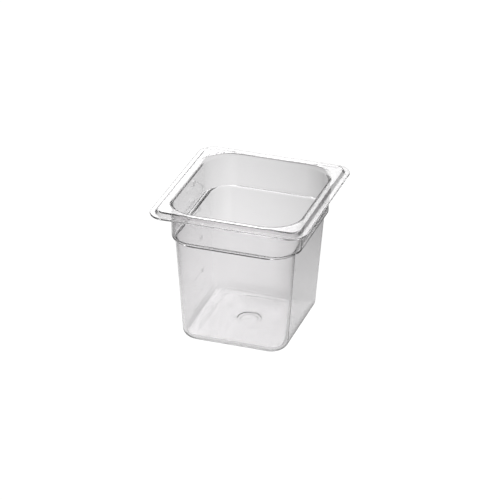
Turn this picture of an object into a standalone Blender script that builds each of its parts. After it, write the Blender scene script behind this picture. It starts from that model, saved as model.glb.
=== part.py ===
"""A clear sixth-size food pan, 150 mm deep: one injection moulding in polycarbonate.

The moulding is a tapered tub with a wider collar above it, which nests in the pan below, and a
raised rim with a low outer lip, on which the pan hangs in a counter. Its wall is one closed surface,
lofted through rounded rectangles from the middle of the base, up the outside, over the rim and down
the inside to the middle of the floor. The origin is the middle of the base, +Z is up, the pan's long
side runs along Y, and everything is in metres.
"""

import math

import bmesh
import bpy
from mathutils import Matrix, Vector

MM = 0.001

# Overall size: a sixth of the standard 530 x 325 mm food-service module.
WIDTH = 162 * MM
LENGTH = 176 * MM
HEIGHT = 150 * MM

# Rim: a raised bead round the mouth, hollow underneath, and a thin lip outside it, one step lower.
LIP_THICKNESS = 2.0 * MM
LIP_CORNER = 17 * MM
LIP_EDGE_ROUND = 0.8 * MM
LIP_TOP = HEIGHT - 3.4 * MM
STEP_FOOT_INSET = 5.3 * MM
STEP_FOOT_ROUND = 0.7 * MM
BEAD_INSET = 8.5 * MM
BEAD_ROUND = 1.8 * MM
MOUTH_ROUND = 4.6 * MM
RIM_WALL = 2.3 * MM
CHANNEL_ROUND = 0.5 * MM

# Collar: the upper wall, which stands out past the tub by the width of the shoulder. From the collar's
# foot, the shoulder's underside rises towards the tub by its slope, in degrees.
COLLAR_TOP_INSET = 12.6 * MM
COLLAR_FOOT_INSET = 13.5 * MM
COLLAR_CORNER = 32 * MM
COLLAR_WALL = 2.6 * MM
SHOULDER_BASE = 112.4 * MM
SHOULDER_THICKNESS = 1.7 * MM
SHOULDER_SLOPE = 14
SHOULDER_ROUND = 1.0 * MM
SHOULDER_FILLET = 1.0 * MM
LEDGE_ROUND = 1.4 * MM
LEDGE_FILLET = 0.4 * MM

# Tub: the lower wall, drafted so that pans nest.
TUB_TOP_INSET = 18.5 * MM
TUB_FOOT_INSET = 25.2 * MM
TUB_TOP_CORNER = 21.5 * MM
TUB_FOOT_CORNER = 18.5 * MM
TUB_WALL = 2.5 * MM
BASE_ROUND = 9 * MM
FLOOR_ROUND = 6.2 * MM
FLOOR_TOP = 3.2 * MM

# Base: a foot ring round a shallow recess, with a gate well in its middle. Above the well, the floor has
# a shallow round dish.
FOOT_RING_WIDTH = 6 * MM
BASE_RECESS = 0.6 * MM
RECESS_SLOPE = 1.2 * MM
WELL_RADIUS = 9 * MM
WELL_DEPTH = 0.6 * MM
DISH_RADIUS = 12.5 * MM
DISH_DEPTH = 0.8 * MM
STEP_ROUND = 0.5 * MM
GATE_RADIUS = 1.6 * MM
GATE_LENGTH = 0.7 * MM

# Graduations: raised bars on the inside of the -X wall, one every quarter litre, with every second
# one long. Each bar's root is sunk into the wall.
LITRE = 0.001
GRADUATION_STEP = 0.25 * LITRE
GRADUATION_COUNT = 8
LONG_EVERY = 2
BAR_LONG = 16 * MM
BAR_SHORT = 9 * MM
BAR_THICKNESS = 0.9 * MM
BAR_PROUD = 0.35 * MM
BAR_ROOT = 0.8 * MM
BAR_END_Y = 8 * MM
SLICE_HEIGHT = 0.1 * MM

# Facets: how finely each curve is drawn.
CORNER_STEPS = 10
SMALL_STEPS = 3
LARGE_STEPS = 6
SMOOTH_ANGLE = math.radians(35)

CLEAR_COLOUR = (0.93, 0.94, 0.95, 1.0)
ROUGHNESS = 0.08
REFRACTIVE_INDEX = 1.585


def clear_scene():
    for obj in list(bpy.data.objects):
        bpy.data.objects.remove(obj, do_unlink=True)


def clear_polycarbonate():
    material = bpy.data.materials.new("clear_polycarbonate")
    material.use_nodes = True
    shader = material.node_tree.nodes["Principled BSDF"]
    shader.inputs["Base Color"].default_value = CLEAR_COLOUR
    shader.inputs["Roughness"].default_value = ROUGHNESS
    shader.inputs["Metallic"].default_value = 0.0
    shader.inputs["Transmission Weight"].default_value = 1.0
    shader.inputs["IOR"].default_value = REFRACTIVE_INDEX
    return material


class Ring:
    """One rounded rectangle of the wall: how far it lies inside the pan's outline, its height and corner."""

    def __init__(self, inset, z, corner):
        self.half_x = WIDTH / 2 - inset
        self.half_y = LENGTH / 2 - inset
        self.z = z
        self.corner = corner

    def points(self):
        made = []
        turns = (
            (1, 1, 0),
            (-1, 1, 1),
            (-1, -1, 2),
            (1, -1, 3),
        )
        for sign_x, sign_y, quarter in turns:
            centre_x = sign_x * (self.half_x - self.corner)
            centre_y = sign_y * (self.half_y - self.corner)
            for step in range(CORNER_STEPS + 1):
                angle = math.radians(90) * (quarter + step / CORNER_STEPS)
                x = centre_x + self.corner * math.cos(angle)
                y = centre_y + self.corner * math.sin(angle)
                made.append((x, y, self.z))
        return made


class Circle:
    """A round section, with as many points as a rounded rectangle."""

    def __init__(self, radius, z):
        self.radius = radius
        self.z = z

    def points(self):
        made = []
        for quarter in range(4):
            for step in range(CORNER_STEPS + 1):
                # A quarter's last point stays just short of the next quarter's first.
                turn = quarter + (step + 0.5) / (CORNER_STEPS + 1)
                angle = math.radians(90) * turn
                made.append((self.radius * math.cos(angle), self.radius * math.sin(angle), self.z))
        return made


def arc(centre_inset, centre_z, radius, start, end, steps, corner_at_centre):
    """Rings along a rounded edge. Angles are in degrees: 0 points inwards, 90 up.

    corner_at_centre is the corner radius of the rectangle through the arc's own centre line, so a ring
    further out has a larger corner and stays parallel to its neighbours.
    """
    rings = []
    for step in range(steps + 1):
        angle = math.radians(start + (end - start) * step / steps)
        inset = centre_inset + radius * math.cos(angle)
        z = centre_z + radius * math.sin(angle)
        corner = corner_at_centre + centre_inset - inset
        rings.append(Ring(inset, z, corner))
    return rings


def collar_arc(centre_inset, centre_z, radius, start, end, steps):
    """A rounded edge that runs parallel to the collar."""
    corner = COLLAR_CORNER + COLLAR_FOOT_INSET - centre_inset
    return arc(centre_inset, centre_z, radius, start, end, steps, corner)


def rim_arc(centre_inset, centre_z, radius, start, end):
    """A rounded edge that runs parallel to the lip."""
    corner = LIP_CORNER - centre_inset
    return arc(centre_inset, centre_z, radius, start, end, SMALL_STEPS, corner)


def tub_share(z):
    """How far up the tub's drafted wall a height is, from 0 at its foot to 1 at the shoulder."""
    return (z - BASE_ROUND) / (SHOULDER_BASE - BASE_ROUND)


def outer_tub_inset(z):
    """How far the tub's outer face lies inside the outline at a height."""
    return TUB_FOOT_INSET + (TUB_TOP_INSET - TUB_FOOT_INSET) * tub_share(z)


def tub_corner(z):
    """The corner radius of the tub's outer face at a height."""
    return TUB_FOOT_CORNER + (TUB_TOP_CORNER - TUB_FOOT_CORNER) * tub_share(z)


def outer_collar_inset(z):
    """How far the collar's outer face lies inside the outline at a height."""
    share = (z - SHOULDER_BASE) / (HEIGHT - SHOULDER_BASE)
    return COLLAR_FOOT_INSET + (COLLAR_TOP_INSET - COLLAR_FOOT_INSET) * share


def underside():
    """From the gate in the middle of the base out to the foot ring."""
    well_top = BASE_RECESS + WELL_DEPTH
    ring_inner = TUB_FOOT_INSET + BASE_ROUND + FOOT_RING_WIDTH
    ring_corner = TUB_FOOT_CORNER - BASE_ROUND
    return [
        Circle(GATE_RADIUS - STEP_ROUND / 2, well_top - GATE_LENGTH),
        Circle(GATE_RADIUS, well_top - GATE_LENGTH + STEP_ROUND / 2),
        Circle(GATE_RADIUS + STEP_ROUND / 4, well_top),
        Circle(WELL_RADIUS - STEP_ROUND, well_top),
        Circle(WELL_RADIUS, well_top - STEP_ROUND),
        Circle(WELL_RADIUS + STEP_ROUND, BASE_RECESS),
        Ring(ring_inner + RECESS_SLOPE, BASE_RECESS, ring_corner),
        Ring(ring_inner, 0, ring_corner),
    ]


def shoulder_fillet_z():
    """Height of the centre of the fillet that the shoulder's sloping underside runs into."""
    slope = math.radians(SHOULDER_SLOPE)
    foot_inset = COLLAR_FOOT_INSET + SHOULDER_ROUND
    across = outer_tub_inset(SHOULDER_BASE) - SHOULDER_FILLET - foot_inset
    rise = (across * math.sin(slope) - SHOULDER_ROUND - SHOULDER_FILLET) / math.cos(slope)
    return SHOULDER_BASE + SHOULDER_ROUND + rise


def outer_tub():
    """The base's rounded edge, the tub's outer wall and the fillet under the shoulder."""
    edge_inset = TUB_FOOT_INSET + BASE_ROUND
    edge_corner = TUB_FOOT_CORNER - BASE_ROUND
    edge = arc(edge_inset, BASE_ROUND, BASE_ROUND, 270, 180, LARGE_STEPS, edge_corner)
    fillet_z = shoulder_fillet_z()
    fillet_inset = outer_tub_inset(fillet_z) - SHOULDER_FILLET
    fillet_corner = tub_corner(fillet_z) + SHOULDER_FILLET
    fillet_end = 90 + SHOULDER_SLOPE
    fillet = arc(fillet_inset, fillet_z, SHOULDER_FILLET, 0, fillet_end, SMALL_STEPS, fillet_corner)
    return edge + fillet


def outer_collar():
    """The shoulder's rounded edge, from which the collar's outer wall rises."""
    centre_inset = COLLAR_FOOT_INSET + SHOULDER_ROUND
    centre_z = SHOULDER_BASE + SHOULDER_ROUND
    return collar_arc(centre_inset, centre_z, SHOULDER_ROUND, 270 + SHOULDER_SLOPE, 180, SMALL_STEPS)


def rim_underside():
    """Up into the channel under the bead, and down its outer side to the lip's underside."""
    bend = MOUTH_ROUND - RIM_WALL
    bend_z = HEIGHT - MOUTH_ROUND
    bend_inset = outer_collar_inset(bend_z) - bend
    channel_z = HEIGHT - RIM_WALL - CHANNEL_ROUND
    lip_inset = STEP_FOOT_INSET + STEP_FOOT_ROUND
    lip_z = LIP_TOP - LIP_THICKNESS + CHANNEL_ROUND
    channel_inner = collar_arc(bend_inset, bend_z, bend, 0, 90, LARGE_STEPS)
    channel_outer = rim_arc(BEAD_INSET + CHANNEL_ROUND, channel_z, CHANNEL_ROUND, 90, 150)
    lip_inner = rim_arc(lip_inset, lip_z, CHANNEL_ROUND, -30, -90)
    return channel_inner + channel_outer + lip_inner


def lip_and_bead():
    """Round the lip's edge, across its top, up the step and over the bead."""
    lip_under = LIP_TOP - LIP_THICKNESS
    step_inset = STEP_FOOT_INSET - STEP_FOOT_ROUND
    rings = rim_arc(LIP_EDGE_ROUND, lip_under + LIP_EDGE_ROUND, LIP_EDGE_ROUND, 270, 180)
    rings += rim_arc(LIP_EDGE_ROUND, LIP_TOP - LIP_EDGE_ROUND, LIP_EDGE_ROUND, 180, 90)
    rings += rim_arc(step_inset, LIP_TOP + STEP_FOOT_ROUND, STEP_FOOT_ROUND, 270, 330)
    rings += rim_arc(BEAD_INSET, HEIGHT - BEAD_ROUND, BEAD_ROUND, 150, 90)
    return rings


def mouth():
    """From the top of the bead over the rounded mouth."""
    centre_inset = outer_collar_inset(HEIGHT) + COLLAR_WALL - MOUTH_ROUND
    return collar_arc(centre_inset, HEIGHT - MOUTH_ROUND, MOUTH_ROUND, 90, 0, LARGE_STEPS)


def inner_collar():
    """The collar's inner foot, the ledge and its rounded edge."""
    ledge = SHOULDER_BASE + SHOULDER_THICKNESS
    foot_inset = COLLAR_FOOT_INSET + COLLAR_WALL + LEDGE_FILLET
    foot = collar_arc(foot_inset, ledge + LEDGE_FILLET, LEDGE_FILLET, 180, 270, SMALL_STEPS)
    edge_z = ledge - LEDGE_ROUND
    edge_inset = outer_tub_inset(edge_z) + TUB_WALL - LEDGE_ROUND
    edge_corner = tub_corner(edge_z) - TUB_WALL + LEDGE_ROUND
    edge = arc(edge_inset, edge_z, LEDGE_ROUND, 90, 0, LARGE_STEPS, edge_corner)
    return foot + edge


def inner_tub():
    """The tub's inner wall and the rounded edge at its foot, down to the floor."""
    centre_z = FLOOR_TOP + FLOOR_ROUND
    inset = outer_tub_inset(centre_z) + TUB_WALL + FLOOR_ROUND
    corner = tub_corner(centre_z) - TUB_WALL - FLOOR_ROUND
    return arc(inset, centre_z, FLOOR_ROUND, 180, 270, LARGE_STEPS, corner)


def floor_dish():
    """The shallow round dish in the floor, from its edge to its middle."""
    dish_floor = FLOOR_TOP - DISH_DEPTH
    return [
        Circle(DISH_RADIUS + STEP_ROUND, FLOOR_TOP),
        Circle(DISH_RADIUS, FLOOR_TOP - STEP_ROUND / 2),
        Circle(DISH_RADIUS - STEP_ROUND, dish_floor),
        Circle(GATE_RADIUS, dish_floor),
    ]


def wall_rings():
    outside = underside() + outer_tub() + outer_collar()
    rim = rim_underside() + lip_and_bead() + mouth()
    inside = inner_collar() + inner_tub() + floor_dish()
    return outside + rim + inside


def loft(name, rings):
    """One closed mesh through the rings, with a fan to a middle point at each end."""
    mesh = bpy.data.meshes.new(name)
    build = bmesh.new()
    loops = [[build.verts.new(point) for point in ring.points()] for ring in rings]
    count = len(loops[0])
    for lower, upper in zip(loops, loops[1:]):
        for i in range(count):
            j = (i + 1) % count
            build.faces.new((lower[i], lower[j], upper[j], upper[i]))
    for loop, z in ((loops[0], rings[0].z), (loops[-1], rings[-1].z)):
        middle = build.verts.new((0, 0, z))
        for i in range(count):
            build.faces.new((loop[i], loop[(i + 1) % count], middle))
    bmesh.ops.recalc_face_normals(build, faces=build.faces)
    build.to_mesh(mesh)
    build.free()
    return mesh


def inner_wall(z):
    """The inner wall at a height: its inset, its corner radius and how far it leans out, in radians."""
    if z < SHOULDER_BASE + SHOULDER_THICKNESS:
        lean = math.atan2(TUB_FOOT_INSET - TUB_TOP_INSET, SHOULDER_BASE - BASE_ROUND)
        return outer_tub_inset(z) + TUB_WALL, tub_corner(z) - TUB_WALL, lean
    lean = math.atan2(COLLAR_FOOT_INSET - COLLAR_TOP_INSET, HEIGHT - SHOULDER_BASE)
    return outer_collar_inset(z) + COLLAR_WALL, COLLAR_CORNER - COLLAR_WALL, lean


def inside_area(z):
    """The pan's open area at a height."""
    inset, corner, _ = inner_wall(z)
    long_side = LENGTH - 2 * inset
    short_side = WIDTH - 2 * inset
    return long_side * short_side - (4 - math.pi) * corner**2


def fill_height(volume):
    """The height that a volume of liquid reaches."""
    z = FLOOR_TOP
    filled = 0.0
    while filled < volume and z < HEIGHT:
        z += SLICE_HEIGHT
        filled += inside_area(z) * SLICE_HEIGHT
    return z


def graduation(number, cutters):
    """One raised bar on the -X wall, sunk into it by its root and tilted to lie along it."""
    z = fill_height(number * GRADUATION_STEP)
    inset, _, lean = inner_wall(z)
    length = BAR_SHORT if number % LONG_EVERY else BAR_LONG
    depth = BAR_ROOT + BAR_PROUD
    mesh = bpy.data.meshes.new("graduation")
    build = bmesh.new()
    bmesh.ops.create_cube(build, size=1.0)
    bmesh.ops.scale(build, vec=(depth, length, BAR_THICKNESS), verts=build.verts)
    build.to_mesh(mesh)
    build.free()
    bar = bpy.data.objects.new(f"graduation_{number}", mesh)
    centre = Vector((inset - WIDTH / 2 + BAR_PROUD - depth / 2, BAR_END_Y - length / 2, z))
    bar.matrix_world = Matrix.Translation(centre) @ Matrix.Rotation(-lean, 4, "Y")
    bar.hide_render = True
    bar.display_type = "WIRE"
    cutters.objects.link(bar)
    return bar


def add_graduations(pan, cutters):
    for number in range(1, GRADUATION_COUNT + 1):
        bar = graduation(number, cutters)
        join = pan.modifiers.new(bar.name, "BOOLEAN")
        join.operation = "UNION"
        join.object = bar


def main():
    clear_scene()
    parts = bpy.data.collections.new("food_pan")
    cutters = bpy.data.collections.new("joined_shapes")
    bpy.context.scene.collection.children.link(parts)
    bpy.context.scene.collection.children.link(cutters)
    mesh = loft("pan", wall_rings())
    mesh.shade_smooth()
    mesh.set_sharp_from_angle(angle=SMOOTH_ANGLE)
    mesh.materials.append(clear_polycarbonate())
    pan = bpy.data.objects.new("pan", mesh)
    parts.objects.link(pan)
    add_graduations(pan, cutters)


main()
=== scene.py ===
"""The looks of a clear polycarbonate food pan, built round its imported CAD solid.

The CAD node is replaced by the same moulding drawn finely: every edge a true curve, with moulded
numerals beside the fill marks. It is one closed skin, because the light bends at each face of it.
The stage is a luminous pale table with soft studio light, as clear plastic is photographed on.
"""

import math

import bmesh
import bpy
from mathutils import Matrix, Quaternion, Vector


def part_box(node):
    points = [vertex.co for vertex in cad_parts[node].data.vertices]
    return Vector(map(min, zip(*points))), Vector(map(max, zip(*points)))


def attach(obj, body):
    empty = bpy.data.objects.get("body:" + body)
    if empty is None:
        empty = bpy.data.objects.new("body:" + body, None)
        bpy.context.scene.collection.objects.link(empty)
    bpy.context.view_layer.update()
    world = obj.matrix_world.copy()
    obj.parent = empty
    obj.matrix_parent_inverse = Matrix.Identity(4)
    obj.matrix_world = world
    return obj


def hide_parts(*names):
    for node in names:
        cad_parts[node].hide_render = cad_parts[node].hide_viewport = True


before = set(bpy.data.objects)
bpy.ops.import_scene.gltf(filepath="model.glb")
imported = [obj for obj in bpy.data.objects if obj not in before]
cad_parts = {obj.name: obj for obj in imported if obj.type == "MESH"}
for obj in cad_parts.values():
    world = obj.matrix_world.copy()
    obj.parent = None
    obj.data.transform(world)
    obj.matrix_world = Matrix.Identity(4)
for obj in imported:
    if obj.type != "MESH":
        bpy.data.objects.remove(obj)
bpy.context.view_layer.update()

LOW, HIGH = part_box("pan")

MM = 0.001

# Overall size, from the CAD solid.
WIDTH = HIGH.x - LOW.x
LENGTH = HIGH.y - LOW.y
HEIGHT = HIGH.z

# Rim: a raised bead round the mouth, hollow underneath, and a thin lip outside it, one step lower.
LIP_THICKNESS = 2.0 * MM
LIP_CORNER = 17 * MM
LIP_EDGE_ROUND = 0.8 * MM
LIP_TOP = HEIGHT - 3.4 * MM
STEP_FOOT_INSET = 5.3 * MM
STEP_FOOT_ROUND = 0.7 * MM
BEAD_INSET = 8.5 * MM
BEAD_ROUND = 1.8 * MM
MOUTH_ROUND = 4.6 * MM
RIM_WALL = 2.3 * MM
CHANNEL_ROUND = 0.5 * MM

# Collar, which stands out past the tub by the width of the shoulder. From the collar's foot, the
# shoulder's underside rises towards the tub by its slope, in degrees.
COLLAR_TOP_INSET = 12.6 * MM
COLLAR_FOOT_INSET = 13.5 * MM
COLLAR_CORNER = 32 * MM
COLLAR_WALL = 2.6 * MM
SHOULDER_BASE = 112.4 * MM
SHOULDER_THICKNESS = 1.7 * MM
SHOULDER_SLOPE = 14
SHOULDER_ROUND = 1.0 * MM
SHOULDER_FILLET = 1.0 * MM
LEDGE_ROUND = 1.4 * MM
LEDGE_FILLET = 0.4 * MM

# Tub, drafted so that pans nest.
TUB_TOP_INSET = 18.5 * MM
TUB_FOOT_INSET = 25.2 * MM
TUB_TOP_CORNER = 21.5 * MM
TUB_FOOT_CORNER = 18.5 * MM
TUB_WALL = 2.5 * MM
BASE_ROUND = 9 * MM
FLOOR_ROUND = 6.2 * MM
FLOOR_TOP = 3.2 * MM

# Base: a foot ring round a shallow recess, with a gate well in its middle. Above the well, the floor has
# a shallow round dish.
FOOT_RING_WIDTH = 6 * MM
BASE_RECESS = 0.6 * MM
RECESS_SLOPE = 1.2 * MM
WELL_RADIUS = 9 * MM
WELL_DEPTH = 0.6 * MM
DISH_RADIUS = 12.5 * MM
DISH_DEPTH = 0.8 * MM
STEP_ROUND = 0.5 * MM
GATE_RADIUS = 1.6 * MM
GATE_LENGTH = 0.7 * MM

# Fill marks: raised bars and numerals on the inside of the -X wall, from the volume that each one holds.
LITRE = 0.001
GRADUATION_STEP = 0.25 * LITRE
GRADUATION_COUNT = 8
LONG_EVERY = 2
BAR_LONG = 16 * MM
BAR_SHORT = 9 * MM
BAR_THICKNESS = 0.9 * MM
BAR_PROUD = 0.35 * MM
BAR_ROOT = 0.8 * MM
BAR_END_Y = 8 * MM
SLICE_HEIGHT = 0.1 * MM
NUMERAL_SIZE = 6.5 * MM
NUMERAL_GAP = 2.5 * MM
NUMERAL_DROP = 2.3 * MM
WELD_DISTANCE = 0.001 * MM

# How finely each curve is drawn, and the bend above which an edge is shaded as a crease.
CORNER_STEPS = 40
SMALL_STEPS = 6
LARGE_STEPS = 14
SMOOTH_ANGLE = math.radians(35)

# Plastic: clear polycarbonate, faintly grey, with the haze, ripples and scratches of kitchen use.
REFRACTIVE_INDEX = 1.585
TINT = (0.93, 0.922, 0.928, 1)
DEPTH_TINT = (0.60, 0.58, 0.62, 1)
DEPTH_DENSITY = 6
POLISH = 0.012
HAZE = 0.035
SCRATCH_ROUGHNESS = 0.22
WORN_ROUGHNESS = 0.16
RIPPLE_HEIGHT = 0.03 * MM
PEEL_HEIGHT = 0.0015 * MM
SCRATCH_DEPTH = 0.004 * MM

# How fine each pattern is, in noise cells per metre, and the levels of noise that it starts and ends at.
HAZE_SCALE = 28
HAZE_LEVELS = (0.45, 0.75)
RIPPLE_SCALE = 38
PEEL_SCALE = 650
WEAR_SCALE = 160
WEAR_LEVELS = (0.42, 0.66)
SCRATCH_SCALE = (40, 2400, 2400)
SCRATCH_FADE = 0.06
FINE_TURN = (20, 35, 15)
FINE_RARITY = 0.70
DEEP_TURN = (-50, 10, 70)
DEEP_RARITY = 0.73

# Wear: full at the foot ring's plane, and part of that at the top of the rim.
FOOT_WEAR_FULL = 0.5 * MM
FOOT_WEAR_END = 3.5 * MM
RIM_WEAR_DEPTH = 1.2 * MM
RIM_WEAR = 0.45

# Studio: a luminous table with a pool of light along the line of view, and one long softbox behind. The
# values were tuned by trial against the photograph's greys.
TABLE_RADIUS = 12
TABLE_SIDES = 96
TABLE_GAP = 0.3 * MM
TABLE_WHITE = 1.05
POOL_CENTRE = (-0.03, 0.10, 0)
POOL_SIZE = (0.30, 1.25, 1)
POOL_BRIGHT = 0.95
POOL_DARK = 0.12
# Painted shadow of the pan on the table: its glow is dimmed from CONTACT_START out to CONTACT_END.
CONTACT_START = 0.03
CONTACT_END = 0.10
CONTACT_SHADE = -0.28
WALL_DARK = 0.04
WALL_LIGHT = 0.50
WALL_DARK_BELOW = 14
WALL_LIGHT_ABOVE = 34
SOFTBOX_ELEVATION = 34
SOFTBOX_DISTANCE = 2.0
SOFTBOX_WIDTH = 3.6
SOFTBOX_HEIGHT = 1.0
SOFTBOX_RADIANCE = 2.3

# Light turns many corners inside the walls before it leaves them. What this limit cuts off deepens the
# dark lines of the edges.
MOST_BOUNCES = 32
MOST_INNER_REFLECTIONS = 14

# Camera: the photograph's viewing angle and lens, from a fit to the pan's outlines.
CAMERA_AZIMUTH = 18.06
CAMERA_ELEVATION = 27.32
CAMERA_ROLL = 0.71
CAMERA_DISTANCE = 2.926
CAMERA_LENS = 208.1
AIM_RIGHT = -0.47 * MM
AIM_UP = 4.9 * MM


class Ring:
    """One rounded rectangle of the wall: how far it lies inside the pan's outline, its height and corner."""

    def __init__(self, inset, z, corner):
        self.half_x = WIDTH / 2 - inset
        self.half_y = LENGTH / 2 - inset
        self.z = z
        self.corner = corner

    def points(self):
        made = []
        turns = (
            (1, 1, 0),
            (-1, 1, 1),
            (-1, -1, 2),
            (1, -1, 3),
        )
        for sign_x, sign_y, quarter in turns:
            centre_x = sign_x * (self.half_x - self.corner)
            centre_y = sign_y * (self.half_y - self.corner)
            for step in range(CORNER_STEPS + 1):
                angle = math.radians(90) * (quarter + step / CORNER_STEPS)
                x = centre_x + self.corner * math.cos(angle)
                y = centre_y + self.corner * math.sin(angle)
                made.append((x, y, self.z))
        return made


class Circle:
    """A round section, with as many points as a rounded rectangle."""

    def __init__(self, radius, z):
        self.radius = radius
        self.z = z

    def points(self):
        made = []
        for quarter in range(4):
            for step in range(CORNER_STEPS + 1):
                turn = quarter + (step + 0.5) / (CORNER_STEPS + 1)
                angle = math.radians(90) * turn
                made.append((self.radius * math.cos(angle), self.radius * math.sin(angle), self.z))
        return made


def arc(centre_inset, centre_z, radius, start, end, steps, corner_at_centre):
    """Rings along a rounded edge. Angles are in degrees: 0 points inwards, 90 up."""
    rings = []
    for step in range(steps + 1):
        angle = math.radians(start + (end - start) * step / steps)
        inset = centre_inset + radius * math.cos(angle)
        z = centre_z + radius * math.sin(angle)
        rings.append(Ring(inset, z, corner_at_centre + centre_inset - inset))
    return rings


def collar_arc(centre_inset, centre_z, radius, start, end, steps):
    """A rounded edge that runs parallel to the collar."""
    corner = COLLAR_CORNER + COLLAR_FOOT_INSET - centre_inset
    return arc(centre_inset, centre_z, radius, start, end, steps, corner)


def rim_arc(centre_inset, centre_z, radius, start, end):
    """A rounded edge that runs parallel to the lip."""
    corner = LIP_CORNER - centre_inset
    return arc(centre_inset, centre_z, radius, start, end, SMALL_STEPS, corner)


def tub_share(z):
    """How far up the tub's drafted wall a height is, from 0 at its foot to 1 at the shoulder."""
    return (z - BASE_ROUND) / (SHOULDER_BASE - BASE_ROUND)


def outer_tub_inset(z):
    return TUB_FOOT_INSET + (TUB_TOP_INSET - TUB_FOOT_INSET) * tub_share(z)


def tub_corner(z):
    return TUB_FOOT_CORNER + (TUB_TOP_CORNER - TUB_FOOT_CORNER) * tub_share(z)


def outer_collar_inset(z):
    share = (z - SHOULDER_BASE) / (HEIGHT - SHOULDER_BASE)
    return COLLAR_FOOT_INSET + (COLLAR_TOP_INSET - COLLAR_FOOT_INSET) * share


def underside():
    """From the gate in the middle of the base out to the foot ring."""
    well_top = BASE_RECESS + WELL_DEPTH
    ring_inner = TUB_FOOT_INSET + BASE_ROUND + FOOT_RING_WIDTH
    ring_corner = TUB_FOOT_CORNER - BASE_ROUND
    return [
        Circle(GATE_RADIUS - STEP_ROUND / 2, well_top - GATE_LENGTH),
        Circle(GATE_RADIUS, well_top - GATE_LENGTH + STEP_ROUND / 2),
        Circle(GATE_RADIUS + STEP_ROUND / 4, well_top),
        Circle(WELL_RADIUS - STEP_ROUND, well_top),
        Circle(WELL_RADIUS, well_top - STEP_ROUND),
        Circle(WELL_RADIUS + STEP_ROUND, BASE_RECESS),
        Ring(ring_inner + RECESS_SLOPE, BASE_RECESS, ring_corner),
        Ring(ring_inner, 0, ring_corner),
    ]


def shoulder_fillet_z():
    """Height of the centre of the fillet that the shoulder's sloping underside runs into."""
    slope = math.radians(SHOULDER_SLOPE)
    foot_inset = COLLAR_FOOT_INSET + SHOULDER_ROUND
    across = outer_tub_inset(SHOULDER_BASE) - SHOULDER_FILLET - foot_inset
    rise = (across * math.sin(slope) - SHOULDER_ROUND - SHOULDER_FILLET) / math.cos(slope)
    return SHOULDER_BASE + SHOULDER_ROUND + rise


def outer_tub():
    """The base's rounded edge, the tub's outer wall and the fillet under the shoulder."""
    edge_inset = TUB_FOOT_INSET + BASE_ROUND
    edge_corner = TUB_FOOT_CORNER - BASE_ROUND
    edge = arc(edge_inset, BASE_ROUND, BASE_ROUND, 270, 180, LARGE_STEPS, edge_corner)
    fillet_z = shoulder_fillet_z()
    fillet_inset = outer_tub_inset(fillet_z) - SHOULDER_FILLET
    fillet_corner = tub_corner(fillet_z) + SHOULDER_FILLET
    fillet_end = 90 + SHOULDER_SLOPE
    fillet = arc(fillet_inset, fillet_z, SHOULDER_FILLET, 0, fillet_end, SMALL_STEPS, fillet_corner)
    return edge + fillet


def outer_collar():
    """The shoulder's rounded edge, from which the collar's outer wall rises."""
    centre_inset = COLLAR_FOOT_INSET + SHOULDER_ROUND
    centre_z = SHOULDER_BASE + SHOULDER_ROUND
    return collar_arc(centre_inset, centre_z, SHOULDER_ROUND, 270 + SHOULDER_SLOPE, 180, SMALL_STEPS)


def rim_underside():
    """Up into the channel under the bead, and down its outer side to the lip's underside."""
    bend = MOUTH_ROUND - RIM_WALL
    bend_z = HEIGHT - MOUTH_ROUND
    bend_inset = outer_collar_inset(bend_z) - bend
    channel_z = HEIGHT - RIM_WALL - CHANNEL_ROUND
    lip_inset = STEP_FOOT_INSET + STEP_FOOT_ROUND
    lip_z = LIP_TOP - LIP_THICKNESS + CHANNEL_ROUND
    channel_inner = collar_arc(bend_inset, bend_z, bend, 0, 90, LARGE_STEPS)
    channel_outer = rim_arc(BEAD_INSET + CHANNEL_ROUND, channel_z, CHANNEL_ROUND, 90, 150)
    lip_inner = rim_arc(lip_inset, lip_z, CHANNEL_ROUND, -30, -90)
    return channel_inner + channel_outer + lip_inner


def lip_and_bead():
    """Round the lip's edge, across its top, up the step and over the bead."""
    lip_under = LIP_TOP - LIP_THICKNESS
    step_inset = STEP_FOOT_INSET - STEP_FOOT_ROUND
    rings = rim_arc(LIP_EDGE_ROUND, lip_under + LIP_EDGE_ROUND, LIP_EDGE_ROUND, 270, 180)
    rings += rim_arc(LIP_EDGE_ROUND, LIP_TOP - LIP_EDGE_ROUND, LIP_EDGE_ROUND, 180, 90)
    rings += rim_arc(step_inset, LIP_TOP + STEP_FOOT_ROUND, STEP_FOOT_ROUND, 270, 330)
    rings += rim_arc(BEAD_INSET, HEIGHT - BEAD_ROUND, BEAD_ROUND, 150, 90)
    return rings


def mouth():
    """From the top of the bead over the rounded mouth."""
    centre_inset = outer_collar_inset(HEIGHT) + COLLAR_WALL - MOUTH_ROUND
    return collar_arc(centre_inset, HEIGHT - MOUTH_ROUND, MOUTH_ROUND, 90, 0, LARGE_STEPS)


def inner_collar():
    """The collar's inner foot, the ledge and its rounded edge."""
    ledge = SHOULDER_BASE + SHOULDER_THICKNESS
    foot_inset = COLLAR_FOOT_INSET + COLLAR_WALL + LEDGE_FILLET
    foot = collar_arc(foot_inset, ledge + LEDGE_FILLET, LEDGE_FILLET, 180, 270, SMALL_STEPS)
    edge_z = ledge - LEDGE_ROUND
    edge_inset = outer_tub_inset(edge_z) + TUB_WALL - LEDGE_ROUND
    edge_corner = tub_corner(edge_z) - TUB_WALL + LEDGE_ROUND
    edge = arc(edge_inset, edge_z, LEDGE_ROUND, 90, 0, LARGE_STEPS, edge_corner)
    return foot + edge


def inner_tub():
    """The tub's inner wall and the rounded edge at its foot, down to the floor."""
    centre_z = FLOOR_TOP + FLOOR_ROUND
    inset = outer_tub_inset(centre_z) + TUB_WALL + FLOOR_ROUND
    corner = tub_corner(centre_z) - TUB_WALL - FLOOR_ROUND
    return arc(inset, centre_z, FLOOR_ROUND, 180, 270, LARGE_STEPS, corner)


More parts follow.
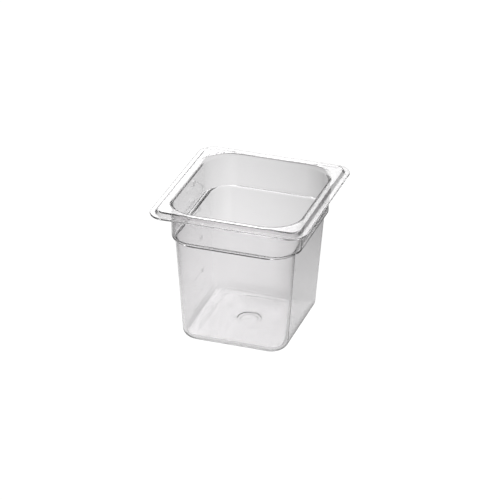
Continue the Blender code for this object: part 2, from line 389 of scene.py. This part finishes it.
def floor_dish():
    """The shallow round dish in the floor, from its edge to its middle."""
    dish_floor = FLOOR_TOP - DISH_DEPTH
    return [
        Circle(DISH_RADIUS + STEP_ROUND, FLOOR_TOP),
        Circle(DISH_RADIUS, FLOOR_TOP - STEP_ROUND / 2),
        Circle(DISH_RADIUS - STEP_ROUND, dish_floor),
        Circle(GATE_RADIUS, dish_floor),
    ]


def wall_rings():
    outside = underside() + outer_tub() + outer_collar()
    rim = rim_underside() + lip_and_bead() + mouth()
    inside = inner_collar() + inner_tub() + floor_dish()
    return outside + rim + inside


def loft(name, rings):
    """One closed mesh through the rings, with a fan to a middle point at each end."""
    mesh = bpy.data.meshes.new(name)
    build = bmesh.new()
    loops = [[build.verts.new(point) for point in ring.points()] for ring in rings]
    count = len(loops[0])
    for lower, upper in zip(loops, loops[1:]):
        for i in range(count):
            j = (i + 1) % count
            build.faces.new((lower[i], lower[j], upper[j], upper[i]))
    for loop, z in ((loops[0], rings[0].z), (loops[-1], rings[-1].z)):
        middle = build.verts.new((0, 0, z))
        for i in range(count):
            build.faces.new((loop[i], loop[(i + 1) % count], middle))
    bmesh.ops.recalc_face_normals(build, faces=build.faces)
    build.to_mesh(mesh)
    build.free()
    return mesh


def inner_wall(z):
    """The inner wall at a height: its inset, its corner radius and how far it leans out, in radians."""
    if z < SHOULDER_BASE + SHOULDER_THICKNESS:
        lean = math.atan2(TUB_FOOT_INSET - TUB_TOP_INSET, SHOULDER_BASE - BASE_ROUND)
        return outer_tub_inset(z) + TUB_WALL, tub_corner(z) - TUB_WALL, lean
    lean = math.atan2(COLLAR_FOOT_INSET - COLLAR_TOP_INSET, HEIGHT - SHOULDER_BASE)
    return outer_collar_inset(z) + COLLAR_WALL, COLLAR_CORNER - COLLAR_WALL, lean


def inside_area(z):
    """The pan's open area at a height."""
    inset, corner, _ = inner_wall(z)
    long_side = LENGTH - 2 * inset
    short_side = WIDTH - 2 * inset
    return long_side * short_side - (4 - math.pi) * corner**2


def fill_height(volume):
    """The height that a volume of liquid reaches."""
    z = FLOOR_TOP
    filled = 0.0
    while filled < volume and z < HEIGHT:
        z += SLICE_HEIGHT
        filled += inside_area(z) * SLICE_HEIGHT
    return z


def on_wall(y, z):
    """A frame on the inner -X wall: its X axis points into the pan, and its Z axis lies up the wall."""
    inset, _, lean = inner_wall(z)
    return Matrix.Translation((inset - WIDTH / 2, y, z)) @ Matrix.Rotation(-lean, 4, "Y")


def add_bar(build, number):
    """One raised bar, sunk into the wall by its root."""
    length = BAR_SHORT if number % LONG_EVERY else BAR_LONG
    depth = BAR_ROOT + BAR_PROUD
    place = on_wall(BAR_END_Y - length / 2, fill_height(number * GRADUATION_STEP))
    sunk = Matrix.Translation((BAR_PROUD - depth / 2, 0, 0))
    size = Matrix.Diagonal((depth, length, BAR_THICKNESS, 1))
    bmesh.ops.create_cube(build, size=1.0, matrix=place @ sunk @ size)


def add_numeral(build, number):
    """The litres of a long bar, as raised figures at its end."""
    z = fill_height(number * GRADUATION_STEP)
    depth = BAR_ROOT + BAR_PROUD
    curve = bpy.data.curves.new("numeral", "FONT")
    curve.body = f"{number * GRADUATION_STEP / LITRE:.1f}"
    curve.size = NUMERAL_SIZE
    curve.extrude = depth / 2
    figure = bpy.data.objects.new("numeral", curve)
    mesh = bpy.data.meshes.new_from_object(figure)
    facing = Matrix(((0, 0, 1, BAR_PROUD - depth / 2), (1, 0, 0, 0), (0, 1, 0, 0), (0, 0, 0, 1)))
    mesh.transform(on_wall(BAR_END_Y + NUMERAL_GAP, z - NUMERAL_DROP) @ facing)
    build.from_mesh(mesh)
    bpy.data.objects.remove(figure)
    bpy.data.curves.remove(curve)
    bpy.data.meshes.remove(mesh)


def fill_marks():
    """All the fill marks, as one mesh to be joined to the wall."""
    mesh = bpy.data.meshes.new("fill_marks")
    build = bmesh.new()
    for number in range(1, GRADUATION_COUNT + 1):
        add_bar(build, number)
        if number % LONG_EVERY == 0:
            add_numeral(build, number)
    bmesh.ops.remove_doubles(build, verts=build.verts, dist=WELD_DISTANCE)
    bmesh.ops.recalc_face_normals(build, faces=build.faces)
    build.to_mesh(mesh)
    build.free()
    return mesh


def joined(name, mesh, added):
    """The union of two closed meshes."""
    whole = bpy.data.objects.new("whole", mesh)
    piece = bpy.data.objects.new("piece", added)
    for obj in (whole, piece):
        bpy.context.scene.collection.objects.link(obj)
    join = whole.modifiers.new("join", "BOOLEAN")
    join.operation = "UNION"
    join.object = piece
    bpy.context.view_layer.update()
    graph = bpy.context.evaluated_depsgraph_get()
    made = bpy.data.meshes.new_from_object(whole.evaluated_get(graph))
    made.name = name
    for obj in (whole, piece):
        bpy.data.objects.remove(obj)
    return made


def ramp(tree, value, low, high, to_low, to_high):
    """A socket that rises smoothly from to_low to to_high as the value goes from low to high."""
    node = tree.nodes.new("ShaderNodeMapRange")
    node.interpolation_type = "SMOOTHSTEP"
    node.inputs["From Min"].default_value = low
    node.inputs["From Max"].default_value = high
    node.inputs["To Min"].default_value = to_low
    node.inputs["To Max"].default_value = to_high
    tree.links.new(value, node.inputs["Value"])
    return node.outputs["Result"]


def combine(tree, operation, first, second):
    """A Math node on two sockets, or on a socket and a number."""
    node = tree.nodes.new("ShaderNodeMath")
    node.operation = operation
    for value, socket in ((first, node.inputs[0]), (second, node.inputs[1])):
        if isinstance(value, (int, float)):
            socket.default_value = value
        else:
            tree.links.new(value, socket)
    return node.outputs["Value"]


def noise(tree, place, scale, detail=2.0):
    node = tree.nodes.new("ShaderNodeTexNoise")
    node.inputs["Scale"].default_value = scale
    node.inputs["Detail"].default_value = detail
    tree.links.new(place, node.inputs["Vector"])
    return node.outputs["Fac"]


def distance(tree, place):
    """How far a place is from the origin."""
    node = tree.nodes.new("ShaderNodeVectorMath")
    node.operation = "LENGTH"
    tree.links.new(place, node.inputs[0])
    return node.outputs["Value"]


def scratches(tree, place, turn, rarity):
    """Long thin marks that run one way. Rarity is the level of the noise that one starts at."""
    lie = tree.nodes.new("ShaderNodeMapping")
    lie.inputs["Rotation"].default_value = [math.radians(angle) for angle in turn]
    lie.inputs["Scale"].default_value = SCRATCH_SCALE
    tree.links.new(place, lie.inputs["Vector"])
    return ramp(tree, noise(tree, lie.outputs["Vector"], 1, 0), rarity, rarity + SCRATCH_FADE, 0, 1)


def worn_places(tree, place):
    """The foot ring and the top of the rim, where the pan slides and stacks."""
    split = tree.nodes.new("ShaderNodeSeparateXYZ")
    tree.links.new(place, split.inputs["Vector"])
    height = split.outputs["Z"]
    foot = ramp(tree, height, FOOT_WEAR_FULL, FOOT_WEAR_END, 1, 0)
    rim = ramp(tree, height, HEIGHT - RIM_WEAR_DEPTH, HEIGHT, 0, RIM_WEAR)
    patches = ramp(tree, noise(tree, place, WEAR_SCALE, 4), *WEAR_LEVELS, 0, 1)
    return combine(tree, "MULTIPLY", combine(tree, "MAXIMUM", foot, rim), patches)


def clear_polycarbonate():
    material = bpy.data.materials.new("clear_polycarbonate")
    material.use_nodes = True
    tree = material.node_tree
    shader = tree.nodes["Principled BSDF"]
    shader.inputs["Base Color"].default_value = TINT
    shader.inputs["Transmission Weight"].default_value = 1.0
    shader.inputs["IOR"].default_value = REFRACTIVE_INDEX

    place = tree.nodes.new("ShaderNodeTexCoord").outputs["Object"]
    fine = scratches(tree, place, FINE_TURN, FINE_RARITY)
    deep = scratches(tree, place, DEEP_TURN, DEEP_RARITY)
    lines = combine(tree, "MAXIMUM", fine, deep)
    haze = ramp(tree, noise(tree, place, HAZE_SCALE, 3), *HAZE_LEVELS, POLISH, POLISH + HAZE)
    scored = combine(tree, "MULTIPLY", lines, SCRATCH_ROUGHNESS)
    worn = combine(tree, "MULTIPLY", worn_places(tree, place), WORN_ROUGHNESS)
    roughness = combine(tree, "ADD", haze, combine(tree, "MAXIMUM", scored, worn))
    tree.links.new(roughness, shader.inputs["Roughness"])

    ripples = combine(tree, "MULTIPLY", noise(tree, place, RIPPLE_SCALE, 1), RIPPLE_HEIGHT)
    peel = combine(tree, "MULTIPLY", noise(tree, place, PEEL_SCALE, 2), PEEL_HEIGHT)
    cuts = combine(tree, "MULTIPLY", lines, -SCRATCH_DEPTH)
    relief = combine(tree, "ADD", combine(tree, "ADD", ripples, peel), cuts)
    bump = tree.nodes.new("ShaderNodeBump")
    bump.inputs["Distance"].default_value = 1.0
    tree.links.new(relief, bump.inputs["Height"])
    tree.links.new(bump.outputs["Normal"], shader.inputs["Normal"])

    absorb = tree.nodes.new("ShaderNodeVolumeAbsorption")
    absorb.inputs["Color"].default_value = DEPTH_TINT
    absorb.inputs["Density"].default_value = DEPTH_DENSITY
    tree.links.new(absorb.outputs["Volume"], tree.nodes["Material Output"].inputs["Volume"])
    return material


def build_pan():
    shell = loft("shell", wall_rings())
    mesh = joined("moulded_pan", shell, fill_marks())
    mesh.shade_smooth()
    mesh.set_sharp_from_angle(angle=SMOOTH_ANGLE)
    mesh.materials.clear()
    mesh.materials.append(clear_polycarbonate())
    pan = bpy.data.objects.new("moulded_pan", mesh)
    bpy.context.scene.collection.objects.link(pan)
    weighted = pan.modifiers.new("face_weighted_normals", "WEIGHTED_NORMAL")
    weighted.mode = "FACE_AREA"
    weighted.weight = 100
    weighted.keep_sharp = True
    return pan


def table_material():
    """Even white where it is seen directly. In the plastic, it shows a painted pool of light that fades, and
    a painted shadow of the pan round its foot.
    """
    material = bpy.data.materials.new("luminous_table")
    material.use_nodes = True
    tree = material.node_tree
    tree.nodes.clear()
    place = tree.nodes.new("ShaderNodeTexCoord").outputs["Object"]
    shift = tree.nodes.new("ShaderNodeVectorMath")
    shift.operation = "SUBTRACT"
    shift.inputs[1].default_value = POOL_CENTRE
    tree.links.new(place, shift.inputs[0])
    spread = tree.nodes.new("ShaderNodeVectorMath")
    spread.operation = "DIVIDE"
    spread.inputs[1].default_value = POOL_SIZE
    tree.links.new(shift.outputs["Vector"], spread.inputs[0])
    # Painted pool of light: the glow fades with distance from POOL_CENTRE.
    pool = ramp(tree, distance(tree, spread.outputs["Vector"]), 0, 1, POOL_BRIGHT, POOL_DARK)
    # Painted shadow: the table's glow is dimmed round the pan's foot.
    painted_contact_shadow = ramp(tree, distance(tree, place), CONTACT_START, CONTACT_END, CONTACT_SHADE, 0)
    seen_directly = tree.nodes.new("ShaderNodeLightPath").outputs["Is Camera Ray"]
    strength = tree.nodes.new("ShaderNodeMix")
    tree.links.new(seen_directly, strength.inputs["Factor"])
    tree.links.new(combine(tree, "ADD", pool, painted_contact_shadow), strength.inputs["A"])
    strength.inputs["B"].default_value = TABLE_WHITE
    glow = tree.nodes.new("ShaderNodeEmission")
    tree.links.new(strength.outputs["Result"], glow.inputs["Strength"])
    output = tree.nodes.new("ShaderNodeOutputMaterial")
    tree.links.new(glow.outputs["Emission"], output.inputs["Surface"])
    return material


def build_table():
    """The table, turned so that its Y axis runs away from the camera."""
    mesh = bpy.data.meshes.new("table")
    build = bmesh.new()
    bmesh.ops.create_circle(build, cap_ends=True, segments=TABLE_SIDES, radius=TABLE_RADIUS)
    build.to_mesh(mesh)
    build.free()
    mesh.materials.append(table_material())
    table = bpy.data.objects.new("table", mesh)
    table.location.z = LOW.z - TABLE_GAP
    table.rotation_euler.z = math.radians(CAMERA_AZIMUTH)
    bpy.context.scene.collection.objects.link(table)


def outward(azimuth, elevation):
    """The direction from the pan at these angles. Azimuth 0 is its front, and 90 its right."""
    turn, rise = math.radians(azimuth), math.radians(elevation)
    return Vector((math.sin(turn) * math.cos(rise), -math.cos(turn) * math.cos(rise), math.sin(rise)))


def build_softbox():
    """A long softbox behind the pan, which the rim and the ledge reflect."""
    out = outward(CAMERA_AZIMUTH + 180, SOFTBOX_ELEVATION)
    data = bpy.data.lights.new("back_softbox", "AREA")
    data.shape = "RECTANGLE"
    data.size = SOFTBOX_WIDTH
    data.size_y = SOFTBOX_HEIGHT
    data.energy = SOFTBOX_RADIANCE * math.pi * SOFTBOX_WIDTH * SOFTBOX_HEIGHT
    light = bpy.data.objects.new("back_softbox", data)
    light.location = Vector((0, 0, HEIGHT / 2)) + out * SOFTBOX_DISTANCE
    light.rotation_euler = out.to_track_quat("Z", "Y").to_euler()
    light.visible_camera = False
    bpy.context.scene.collection.objects.link(light)


def build_walls():
    """The studio's walls as a background: dark low down, for the edges' dark lines, and lighter above."""
    world = bpy.data.worlds.new("studio")
    world.use_nodes = True
    tree = world.node_tree
    split = tree.nodes.new("ShaderNodeSeparateXYZ")
    tree.links.new(tree.nodes.new("ShaderNodeTexCoord").outputs["Generated"], split.inputs["Vector"])
    low = math.sin(math.radians(WALL_DARK_BELOW))
    high = math.sin(math.radians(WALL_LIGHT_ABOVE))
    strength = ramp(tree, split.outputs["Z"], low, high, WALL_DARK, WALL_LIGHT)
    backdrop = tree.nodes["Background"]
    backdrop.inputs["Color"].default_value = (1, 1, 1, 1)
    tree.links.new(strength, backdrop.inputs["Strength"])
    bpy.context.scene.world = world


def build_camera():
    back = outward(CAMERA_AZIMUTH, CAMERA_ELEVATION)
    data = bpy.data.cameras.new("camera")
    data.lens = CAMERA_LENS
    camera = bpy.data.objects.new("camera", data)
    rotation = back.to_track_quat("Z", "Y") @ Quaternion((0, 0, 1), math.radians(CAMERA_ROLL))
    right = rotation @ Vector((1, 0, 0))
    up = rotation @ Vector((0, 1, 0))
    aim = Vector((0, 0, HEIGHT / 2)) + right * AIM_RIGHT + up * AIM_UP
    camera.location = aim + back * CAMERA_DISTANCE
    camera.rotation_mode = "QUATERNION"
    camera.rotation_quaternion = rotation
    bpy.context.scene.collection.objects.link(camera)
    bpy.context.scene.camera = camera


def main():
    pan = build_pan()
    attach(pan, "root")
    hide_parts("pan")
    build_table()
    build_softbox()
    build_walls()
    build_camera()
    scene = bpy.context.scene
    scene.view_settings.view_transform = "Standard"
    scene.cycles.max_bounces = MOST_BOUNCES
    scene.cycles.glossy_bounces = MOST_INNER_REFLECTIONS
    scene.cycles.transmission_bounces = MOST_BOUNCES


main()
